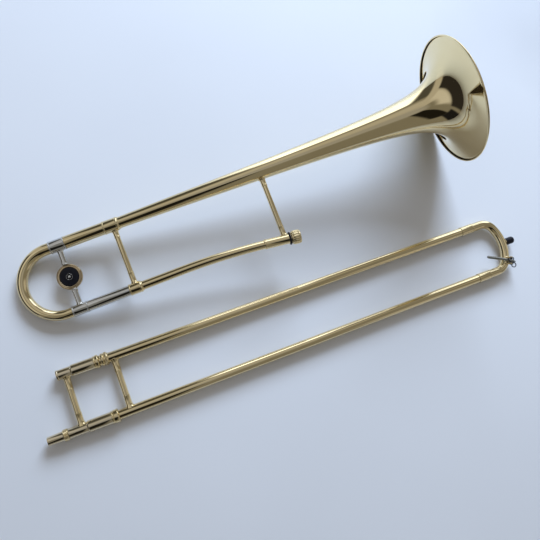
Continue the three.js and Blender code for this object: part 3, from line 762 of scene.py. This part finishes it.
def build_receiver():
    node = "slide_receiver"
    start, end, bore, flange = RECEIVER.measure(node)
    nut_start = RECEIVER.span("coupling_nut")[0]
    ring_bore = RECEIVER.radii("receiver_o_ring")[0]
    outer = ring_bore - 0.2 * MM
    shoulder = nut_start + 2.4 * MM
    neck_r = NECK_LEG.radii("neck_ferrule")[0] - 0.2 * MM
    profile = offsets(
        (start, 0, neck_r, 0), (start, 0, neck_r, 0.5), (start, 0.8, outer, 0.25),
        (start, 2.4, outer, 0.25), (start, 3.0, outer, 0), (shoulder, 0, outer, 0),
        (shoulder, 0, flange, 0), (shoulder, 1.4, flange, 0), (shoulder, 1.4, 0, 8.2), (end, 0, 0, 8.2),
        (end, 0, 0, 6.9), (start, 12, bore, 0), (start, 8.6, neck_r, 0),
    )
    turn(node, RECEIVER, profile, 0.3 * MM)

    node = "receiver_o_ring"
    start, end, bore, outer = RECEIVER.measure(node)
    half = (end - start) / 2
    height = 0.26 * outer
    profile = [
        ((start + end) / 2 - half * math.cos(a), outer - height / 2 + height / 2 * math.sin(a))
        for a in np.linspace(0, 2 * math.pi, 24, endpoint=False)
    ]
    dress(node, lathe(RECEIVER, profile, 96))

    node = "coupling_nut"
    start, end, bore, outer = RECEIVER.measure(node)
    dome = [
        (start + t * (end - start), outer - 1.5 * MM * abs(2 * t - 1.06) ** 3)
        for t in np.linspace(0.1, 0.97, 34)
    ]
    profile = [
        (start, bore), (start, outer - 2.6 * MM), (start + 0.5 * MM, outer - 2.0 * MM),
        (start + 1.1 * MM, outer - 2.0 * MM), *dome, (end, outer - 2.0 * MM), (end, 8.9 * MM),
        (start + 6 * MM, 8.9 * MM), (start + 5 * MM, 9.5 * MM), (start + 1.8 * MM, 9.5 * MM),
        (start + 1.8 * MM, bore),
    ]
    flutes = knurl(16, 0.4 * MM, start + 2.2 * MM, end - 1.2 * MM, 9.55 * MM)
    dress(node, lathe(RECEIVER, soften(profile, 0.25 * MM, 3), 400, flutes))


# ---- Bell ----
# The sheet's outside ends at BELL_SHEET_R, and the bead rolled at its edge reaches out to BELL_RIM_R.
BELL_WALL = 0.6 * MM
BEAD_R = 1.5 * MM
BELL_TAIL = BELL_LEG.span("bell_stem")[0]
BELL_RIM_X = BELL_LEG.span("bell_flare")[1] - BELL_WALL
BELL_RIM_R = BELL_LEG.radii("bell_flare")[1] - 0.2 * MM
BELL_SHEET_R = BELL_RIM_R - BEAD_R - 0.3 * MM


def bell_radius(x):
    """Outside radius at a station on the bell leg: a curve that opens fast near the rim."""
    throat, curl, power, taper = 16.4 * MM, 26.8 * MM, 1.29, 0.0164
    from_rim = BELL_RIM_X - x
    return throat + (BELL_SHEET_R - throat) * (curl / (from_rim + curl)) ** power - taper * from_rim


def build_bell():
    bead_bore = BEAD_R - 0.75 * MM
    centre = (BELL_RIM_X + BELL_WALL - BEAD_R, BELL_RIM_R - BEAD_R)
    length = BELL_RIM_X - BELL_TAIL
    step = 0.1 * MM
    outside, inside = [], []
    for t in np.linspace(0, 1, 110)[:-1]:
        x = BELL_RIM_X - length * (1 - t) ** 2.4
        r = bell_radius(x)
        slope = (r - bell_radius(x - step)) / step
        inwards = BELL_WALL / math.hypot(1, slope)
        outside.append((x, r))
        inside.append((x + inwards * slope, r - inwards))

    def hook(r, first, last, count):
        turn = np.radians(np.linspace(first, last, count))
        return [(centre[0] + r * math.cos(a), centre[1] + r * math.sin(a)) for a in turn]

    outside = [p for p in outside if p[0] < centre[0] - 0.2 * MM]
    inside = [p for p in inside if p[1] < centre[1] - 1.2 * MM]
    profile = [*outside, *hook(bead_bore, -60, 215, 18), *hook(BEAD_R, 215, -62, 30), *reversed(inside)]
    nodes = ["bell_flare", "bell_stem"]
    add_piece("bell_flare_surface", lathe(BELL_LEG, profile, 224), LACQUER, "bell_section", nodes)

    dress("bell_rim_wire", lathe(BELL_LEG, wire_profile(*centre, 0.6 * MM), 160))


# ---- Braces ----
class Stalk:
    """Rings of a round piece that stands on a tube along x and runs along y.
    place's origin is on the piece's axis, at the height of the tube."""

    def __init__(self, place, side, tube_y, tube_r, segments):
        angle = np.linspace(0, 2 * math.pi, segments, endpoint=False)
        self.cos, self.sin = np.cos(angle), np.sin(angle)
        self.place, self.side, self.tube_y, self.tube_r = place, side, tube_y, tube_r

    def level(self, r, y):
        dx, dz = r * self.cos, r * self.sin
        return self.place.world(np.stack([dx, np.broadcast_to(y, dx.shape), dz], axis=1))

    def seated(self, r, lift, settle=1.0):
        """settle runs from a flat ring (0) to one that lies `lift` off the tube (1)."""
        flat = self.tube_r + lift
        drop = np.sqrt(np.clip(flat**2 - (r * self.sin) ** 2, 0, None))
        return self.level(r, self.tube_y - self.side * (flat * (1 - settle) + drop * settle))


def socket_skin(place, seam, tube_y, tube_r, slim, wide, foot, flare):
    """A brace socket that flares into a foot on its tube."""
    side = 1 if tube_y > seam else -1
    stalk = Stalk(place, side, tube_y, tube_r, 72)
    rings = [
        stalk.level(r, seam + side * lift * MM)
        for r, lift in (
            (slim, 2.5), (slim, 0.1), (slim + 0.25 * MM, 0), (wide - 0.2 * MM, 0), (wide, 0.3), (wide, 1.3),
            (wide - 0.15 * MM, 1.6),
        )
    ]
    for t in np.linspace(0, 1, 14):
        r = wide - 0.15 * MM + (foot - wide) * t**2.2
        rings.append(stalk.seated(r, 0.5 * MM + flare * (1 - t) ** 1.6, t**1.5))
    for r, lift in ((foot + 0.1 * MM, 0.35), (foot + 0.1 * MM, -0.15), (foot * 0.6, -0.2)):
        rings.append(stalk.seated(r, lift * MM))
    return Skin().add_rings(rings, closed=True)


def build_brace(name, place, ends):
    """A brace tube with a socket at each end. ends: (node suffix, seam y, tube y, tube radius)."""
    across = place.crosswise(1)
    dress(f"{name}_tube", lathe(across, pipe_profile(across, f"{name}_tube"), 64))
    slim = across.radii(f"{name}_tube")[1] + 0.1 * MM
    for suffix, seam, tube_y, tube_r in ends:
        skin = socket_skin(place, seam, tube_y, tube_r, slim, slim + 0.35 * MM, slim + 1.6 * MM, 5 * MM)
        dress(f"{name}_socket_{suffix}", skin)


def build_braces():
    for name, legs in (
        ("inner_brace", {"upper": "mouthpiece_receiver", "lower": "slide_shank"}),
        ("hand_brace", {"upper": "outer_tube_upper", "lower": "outer_tube_lower"}),
    ):
        place = SLIDE.moved(x=node_centre(f"{name}_tube")[0])
        ends = []
        for suffix, leg in legs.items():
            side = 1 if suffix == "upper" else -1
            tube_r = LEGS[suffix].radii(leg)[1] - (0.4 * MM if leg == "mouthpiece_receiver" else 0)
            span = place.crosswise(1).span(f"{name}_socket_{suffix}")
            seam = span[0] if side > 0 else span[1]
            ends.append((suffix, seam, side * LEG_Y, tube_r))
        build_brace(name, place, ends)

    for name, bell_tube, neck_tube in (
        ("front_brace", "bell_ferrule", "neck_ferrule"),
        ("rear_brace", None, "slide_receiver"),
    ):
        x = CROOK.local(node_centre(f"{name}_tube"))[0]
        place = CROOK.moved(x=x)
        across = place.crosswise(1)
        bell_seam = across.span(f"{name}_socket_bell")[0]
        neck_seam = across.span(f"{name}_socket_neck")[1]
        if bell_tube:
            bell_r = BELL_LEG.radii(bell_tube)[1] - 0.4 * MM
            neck_y, neck_r = -NECK_Y, NECK_LEG.radii(neck_tube)[1] - 0.3 * MM
        else:
            bell_r = bell_radius(x)
            receiver_at = CROOK.local(RECEIVER.world([[-0.05, 0, 0], [0.0, 0, 0]]))
            slope = (receiver_at[1][1] - receiver_at[0][1]) / (receiver_at[1][0] - receiver_at[0][0])
            neck_y = receiver_at[0][1] + slope * (x - receiver_at[0][0])
            neck_r = RECEIVER.radii("receiver_o_ring")[0] - 0.2 * MM
        build_brace(name, place, [("bell", bell_seam, NECK_Y, bell_r), ("neck", neck_seam, neck_y, neck_r)])


# ---- Medallion ----
def build_medallion():
    centre = CROOK.local(node_centre("medallion_ring"))
    disc = CROOK.moved(x=centre[0]).upright()
    low, high = disc.span("medallion_ring")
    outer = disc.radii("medallion_ring")[1]
    badge = disc.radii("medallion_insert")[1]
    profile = offsets(
        (low, 0, outer, -2.2), (low, 0.5, outer, -0.9), (low, 1.5, outer, 0), (high, -1.5, outer, 0),
        (high, -0.5, outer, -0.7), (high, -0.1, outer, -1.7), (high, -0.5, outer, -2.3),
        (high, -0.2, outer, -2.9), (high, 0, badge, 1.3), (high, -0.1, badge, 0.6),
        (high, -0.9, badge, 0.1), (high, -2.0, badge, 0.1),
    )
    dress("medallion_ring", solid_lathe(disc, soften(profile, 0.5 * MM, closed=False), 128), BRONZE)

    node = "medallion_insert"
    low, high = disc.span(node)
    crown = [
        (low, badge), (high - 0.4 * MM, badge), (high - 0.1 * MM, badge - 0.5 * MM),
        *[(high + 0.3 * MM * (1 - (r / badge) ** 2), r) for r in np.linspace(badge - 1.5 * MM, 0.5 * MM, 10)],
    ]
    dress(node, solid_lathe(disc, soften(crown, 0.3 * MM, closed=False), 128))
    build_emblem(disc, high + 0.25 * MM)
    build_posts(disc)


def build_emblem(disc, height):
    """A small raised star in a ring: a plain ornament on the black insert."""
    skin = Skin()
    points = 8
    outline = []
    for i in range(points * 2):
        r = (3.1 if i % 2 == 0 else 1.2) * MM
        a = math.pi * i / points
        outline.append((r * math.cos(a), r * math.sin(a)))
    rings = []
    for scale, lift in ((1.0, -0.35), (1.0, 0.1), (0.8, 0.28), (0.35, 0.36)):
        rings.append([disc.world([height + lift * MM, y * scale, z * scale]) for y, z in outline])
    rings.insert(0, [disc.world([height - 0.35 * MM, 0, 0])])
    rings.append([disc.world([height + 0.42 * MM, 0, 0])])
    skin.add_rings(rings)
    lathe(disc, wire_profile(height - 0.02 * MM, 4.6 * MM, 0.22 * MM), 96, skin=skin)
    add_piece("medallion_emblem", skin, NICKEL, "tuning_slide", [])


def build_posts(disc):
    """Posts from the medallion to the crook's ferrules, each with a collar at the medallion."""
    outer = disc.radii("medallion_ring")[1]
    x = CROOK.local(node_centre("medallion_ring"))[0]
    place = CROOK.moved(x=x)
    for side, leg_y, ferrule, leg in (
        (1, NECK_Y, "crook_ferrule_bell", BELL_LEG),
        (-1, -NECK_Y, "crook_ferrule_neck", NECK_LEG),
    ):
        leg_r = leg.radii(ferrule)[1] - 0.3 * MM
        slim = 4.4 * MM
        stalk = Stalk(place, side, leg_y, leg_r, 64)
        rings = [
            stalk.level(r * MM, side * (outer + lift * MM))
            for r, lift in ((3.0, -0.6), (4.7, -0.6), (4.9, 0.5), (4.9, 1.3), (4.7, 1.7), (4.4, 2.0))
        ]
        reach = NECK_Y - leg_r
        for t in np.linspace(0, 1, 6):
            rings.append(stalk.level(slim, side * (outer + 2.0 * MM + t * (reach - outer - 6.5 * MM))))
        for t in np.linspace(0.1, 1, 8):
            rings.append(stalk.seated(slim + 0.9 * MM * t**2.2, 0.4 * MM + 3.4 * MM * (1 - t) ** 1.5))
        rings += [stalk.seated(slim + 1.0 * MM, -0.1 * MM), stalk.seated(slim * 0.7, -0.15 * MM)]
        node = "crook_post_bell" if side > 0 else "crook_post_neck"
        dress(node, Skin().add_rings(rings, closed=True))


# ---- Water key ----
def build_water_key():
    tube_r = UPPER.radii("outer_tube_upper")[1]
    half = 5.6 * MM

    node = "water_key_nipple"
    end = NOZZLE.span(node)[1]
    profile = offsets(
        (0, -4.4, 0, 4.4), (0, -1.5, 0, 3.7), (0, 0.5, 0, 3.3), (end, -0.8, 0, 3.3), (end, 0, 0, 2.7),
        (end, 0, 0, 2.1), (0, -4.4, 0, 2.1),
    )
    shifted = [(x + (2.0 * MM if x < end - MM else 0), r) for x, r in profile]
    dress(node, lathe(NOZZLE, soften(shifted, 0.3 * MM), 64))

    skin = Skin()
    add_strap(skin, tube_r, half + 0.9 * MM)
    add_ears(skin, tube_r, half)
    add_piece("water_key_saddle_surface", skin, LACQUER, "outer_slide", ["water_key_saddle"])

    r = 0.9 * MM
    head = 1.7 * MM
    ends = half + 1.9 * MM
    profile = offsets(
        (-ends, 0, head, -0.3), (-ends, 0.4, head, 0), (-half, -0.9, head, 0), (-half, -0.9, r, 0),
        (half, 0.9, r, 0), (half, 1.2, r, -0.3),
    )
    dress("water_key_pin", solid_lathe(PIVOT.crosswise(1), soften(profile, 0.2 * MM, closed=False), 40))
    build_spring()
    build_lever()


def add_strap(skin, tube_r, reach):
    """A thin plate bent over the bow under the key, where its crown meets the lower corner."""
    tangent = unit(np.cross([0, 0, 1.0], PIVOT.x))
    stations = np.linspace(-reach, reach, 9)
    section = [(x, tube_r + 0.9 * MM) for x in stations] + [(x, tube_r - 0.1 * MM) for x in stations[::-1]]
    rings = []
    for angle in np.radians(np.linspace(-8, 118, 22)):
        ring = []
        for x, r in section:
            bend = BOW_CORNER_R if x < 0 else BOW_CROWN_R
            out = BOW_CORNER_R - x * x / (2 * bend) + r * math.cos(angle)
            rise = np.array([0, 0, r * math.sin(angle)])
            ring.append(LOWER_CORNER.origin + PIVOT.x * out + tangent * x + rise)
        rings.append(ring)
    skin.add_rings([[np.mean(rings[0], axis=0)], *rings, [np.mean(rings[-1], axis=0)]])


def add_ears(skin, tube_r, half):
    """An upright eye on the strap at each side of the lever."""
    for side in (-1, 1):
        profile = []
        top = 2.3 * MM
        base = -(KEY_HEIGHT - tube_r * 0.62)
        for a in np.radians(np.linspace(-20, 200, 20)):
            profile.append((top * math.cos(a), top * math.sin(a)))
        profile += [(-3.0 * MM, base * 0.5), (-3.4 * MM, base), (3.4 * MM, base), (3.0 * MM, base * 0.5)]
        outline = np.array(profile)
        rings = []
        for y, scale in ((-0.8, 0.9), (-0.6, 1.0), (0.6, 1.0), (0.8, 0.9)):
            local = [[u * scale, side * half + y * MM, h * (scale if h > 0 else 1.0)] for u, h in outline]
            rings.append(PIVOT.world(local))
        rings.insert(0, [np.mean(rings[0], axis=0)])
        rings.append([np.mean(rings[-1], axis=0)])
        skin.add_rings(rings)


def build_spring():
    """One wire: a bridge over the lever's arm, a coil at each side of it, and ends bent into rings."""
    wire = 0.8 * MM
    coil_r = 1.95 * MM
    turns = 1.25
    halves = []
    for side in (1, -1):
        t = np.linspace(0, 1, 110)
        angle = math.pi * (1 + 2 * turns * t)
        y = side * (2.9 + 1.2 * t) * MM
        coil = np.stack([coil_r * np.cos(angle), y, coil_r * np.sin(angle)], axis=1)
        bridge = [(-6.2, 0, 2.5), (-5.6, 1.4, 2.7), (-3.6, 2.3, 2.6), (-2.2, 2.6, 1.4)]
        ring = [
            (3.7, 3.2, -2.1), (6.4, 2.5, -2.6), (9.1, 3.6, -3.0), (9.9, 6.0, -3.2), (8.0, 8.3, -3.2),
            (5.0, 8.0, -3.1), (3.6, 5.9, -2.9),
        ]
        # The ring on the upper leg's side is smaller and lies closer in.
        size, inwards = (0.85, 2.2) if side * PIVOT.y[1] > 0 else (1.3, 0.0)
        ring = [
            (3.7 + size * (x - 3.7) - inwards, 3.2 + size * (y - 3.2) - 0.4 * inwards, z)
            for x, y, z in ring
        ]
        bridge, ring = (
            [(x * MM, side * across * MM, z * MM) for x, across, z in points] for points in (bridge, ring)
        )
        start = smooth_path([*bridge, coil[0]], 24)
        end = smooth_path([coil[-1], *ring], 60)
        halves.append(np.vstack([start[:-1], coil, end[1:]]))
    path = np.vstack([halves[1][::-1], halves[0][1:]])
    dress("water_key_spring", sweep(PIVOT.world(path), np.full(len(path), wire), 12))


def build_lever():
    """A hub on the pin, a touch at the arm's far end, and a tail that holds the pad's cup."""
    side, outer, bore = 1.85 * MM, 2.1 * MM, 1.15 * MM
    hub = [(-side, outer), (side, outer), (side, bore), (-side, bore)]
    skin = lathe(PIVOT.crosswise(1), soften(hub, 0.25 * MM), 48)
    low = np.array([-39.5 * MM, 0, -5 * MM])
    arm = smooth_path([
        low, low + [5 * MM, 0, 0.4 * MM], low + [15 * MM, 0, 2.8 * MM], [-15.5 * MM, 0, -0.4 * MM],
        [-8.5 * MM, 0, 0.1 * MM], [-1.9 * MM, 0, 0],
    ], 60)
    t = np.linspace(0, 1, 60)
    width = (1.35 + 1.15 * np.clip(1 - t / 0.85, 0, 1) ** 0.4) * MM
    flat = 1 - 0.2 * np.clip(1 - t / 0.42, 0, 1)
    sweep(PIVOT.world(arm), width, 32, squeeze=flat, skin=skin)
    tail = smooth_path([
        [1.9 * MM, 0, 0], [5 * MM, 0, 0.1 * MM], [8.9 * MM, 0, -2.4 * MM], [10.6 * MM, 0, -6.5 * MM],
        [10.1 * MM, 0, -KEY_HEIGHT + 0.5 * MM],
    ], 40)
    sweep(PIVOT.world(tail), np.full(40, 1.35 * MM), 24, skin=skin)
    mouth = 6.5 * MM
    cup = offsets(
        (mouth, 0, 0, 4.3), (mouth, 0, 0, 4.9), (mouth, 3.2, 0, 4.9), (mouth, 4.2, 0, 3.6),
        (mouth, 4.3, 0, 0.6), (mouth, 2.2, 0, 0.6), (mouth, 2.2, 0, 4.3),
    )
    lathe(NOZZLE, soften(cup, 0.35 * MM), 64, skin=skin)
    dress("water_key_lever", skin, TARNISHED)

    node = "water_key_pad"
    start, end = NOZZLE.span(node)
    r = NOZZLE.radii(node)[1]
    profile = soften([(start, r - 0.1 * MM), (end, r)], 0.3 * MM, closed=False)
    dress(node, solid_lathe(NOZZLE, profile, 48))


# ---- Stage ----
FLOOR_REACH = 4.0
FLOOR_GAP = 0.2 * MM


def build_floor():
    """A plain pale table. Painted shade darkens it gently towards +X and +Y, as the photograph's does."""
    m, surface = material_nodes("pale_table")
    split = m.new("ShaderNodeSeparateXYZ", {"Vector": surface})
    east = m.maths("MULTIPLY", split.outputs["X"], 0.9)
    painted_shade_slope = m.maths("ADD", east, m.maths("MULTIPLY", split.outputs["Y"], 0.44))
    # Painted shade: the noise's random tone is multiplied down along this slope, to 0.22 of itself towards +X
    # and +Y.
    tone_and_painted_shade = m.maths("MULTIPLY", m.noise(surface, 1.6, 3.0), m.levels(painted_shade_slope, 0.34, 0.82, 1.0, 0.22))
    # The darkest stop is reached only where the painted shade pulls the tone down.
    tones = [(0.0, (0.46, 0.46, 0.47)), (0.3, (0.755, 0.755, 0.765)), (0.7, (0.80, 0.80, 0.81))]
    m.set(Base_Color=m.ramp(tone_and_painted_shade, tones))
    m.set(Roughness=m.levels(m.noise(surface, 300.0, 3.0), 0.3, 0.7, 0.18, 0.26))
    mesh = bpy.data.meshes.new("table_top")
    corners = [(FLOOR_REACH * x, FLOOR_REACH * y, 0) for x, y in ((-1, -1), (1, -1), (1, 1), (-1, 1))]
    mesh.from_pydata(corners, [], [(0, 1, 2, 3)])
    floor = add_object("table_top", mesh)
    floor.location.z = -FLOOR_GAP
    mesh.materials.append(m.owner)


def add_key_light():
    """A wide window beyond the bell. The cards stand for it in the metal's reflections."""
    data = bpy.data.lights.new("key", "AREA")
    data.shape = "RECTANGLE"
    data.size, data.size_y = 1.5, 1.1
    data.energy = 113
    data.color = (0.61, 0.76, 1.0)
    light = add_object("key", data)
    light.location = (1.2, 2.0, 1.35)
    light.rotation_euler = (-light.location).to_track_quat("-Z", "Y").to_euler()
    light.visible_glossy = False


# What the polished tubes mirror. Each card is a soft-edged patch of the studio's wall or ceiling:
# azimuth from +X towards +Y, elevation, half-size in degrees each way, softness and colour.
ROOM = (0.205, 0.198, 0.178)
CARDS = (
    ("ceiling", 0, 90, (180, 17), 6, (0.335, 0.340, 0.362)),
    ("upper_wall", 95, 64, (58, 14), 8, (0.455, 0.448, 0.439)),
    ("high_wall", 158, 45, (42, 15), 8, (0.57, 0.57, 0.58)),
    ("end_wall", 352, 18, (15, 36), 8, (0.435, 0.427, 0.416)),
    ("side_wall", 121, 28, (10, 38), 4, (0.455, 0.448, 0.439)),
    ("window_left", 39, 10, (11, 28), 3, (1.75, 1.90, 2.15)),
    ("window_middle", 60, 0, (11, 24), 4, (1.50, 1.63, 1.85)),
    ("window_right", 80, 10, (10, 28), 3, (1.75, 1.90, 2.15)),
    ("curtain", 101, 3, (9, 38), 3, (0.08, 0.08, 0.075)),
    ("cupboard", 168, 5, (40, 23), 3, (0.026, 0.024, 0.024)),
    ("doorway", 247, 48, (17, 26), 3, (0.012, 0.011, 0.009)),
    ("door_foot", 231, 9, (15, 15), 3, (0.012, 0.012, 0.014)),
    ("far_wall", 302, 16, (8, 22), 5, (0.395, 0.386, 0.381)),
)


def build_light():
    add_key_light()
    world = bpy.data.worlds.new("studio")
    bpy.context.scene.world = world
    w = Nodes(world, "Background")

    def inside(offset, half, soft):
        """1 where an angle is within half of a card's middle, falling to 0 over its soft edge."""
        edge, full = math.radians(half + soft), math.radians(half - soft)
        return w.levels(offset, edge, full, interpolation_type="SMOOTHSTEP")

    direction = w.new("ShaderNodeTexCoord").outputs["Generated"]
    split = w.new("ShaderNodeSeparateXYZ", {"Vector": direction})
    azimuth = w.maths("ARCTAN2", split.outputs["Y"], split.outputs["X"])
    elevation = w.maths("ARCSINE", split.outputs["Z"])
    colour = (*ROOM, 1.0)
    for _, card_azimuth, card_elevation, half, soft, tint in CARDS:
        turned = w.maths("SUBTRACT", azimuth, math.radians(card_azimuth))
        around = w.maths("ABSOLUTE", w.maths("WRAP", turned, math.pi, -math.pi))
        upwards = w.maths("ABSOLUTE", w.maths("SUBTRACT", elevation, math.radians(card_elevation)))
        cover = w.maths("MULTIPLY", inside(around, half[0], soft), inside(upwards, half[1], soft))
        inputs = {"Factor": cover, "A": colour, "B": (*tint, 1.0)}
        colour = w.new("ShaderNodeMix", inputs, data_type="RGBA").outputs["Result"]
    w.set(Color=colour)


CAMERA_RIGHT = Vector((0.92348, -0.33851, 0.18055))
CAMERA_UP = Vector((0.31759, 0.93853, 0.13525))
CAMERA_LENS = 37.63
# From the hand slide's middle, with x counted from the mouthpiece end.
CAMERA_FROM_SLIDE = (0.1597, 0.0266, 0.8814)


def build_camera():
    """Above the table, looking down a little along the slide, as the photograph does."""
    data = bpy.data.cameras.new("camera")
    data.sensor_width = 36.0
    data.lens = CAMERA_LENS
    camera = add_object("camera", data)
    x, y, z = CAMERA_FROM_SLIDE
    position = SLIDE.origin + np.array([SLIDE.span("mouthpiece_receiver")[0] + x, y, z])
    matrix = Matrix((CAMERA_RIGHT, CAMERA_UP, CAMERA_RIGHT.cross(CAMERA_UP))).transposed().to_4x4()
    matrix.translation = Vector(position)
    camera.matrix_world = matrix
    bpy.context.scene.camera = camera


build_camera()
build_slide_legs()
build_mouthpiece_end()
build_shank_end()
build_slide_lock()
build_bow()
build_water_key()
build_bell()
build_bell_tubes()
build_neck()
build_receiver()
build_tuning_slide()
build_braces()
build_floor()
build_light()

view = bpy.context.scene.view_settings
view.view_transform = "Standard"
view.look = "None"
view.exposure = 0.0
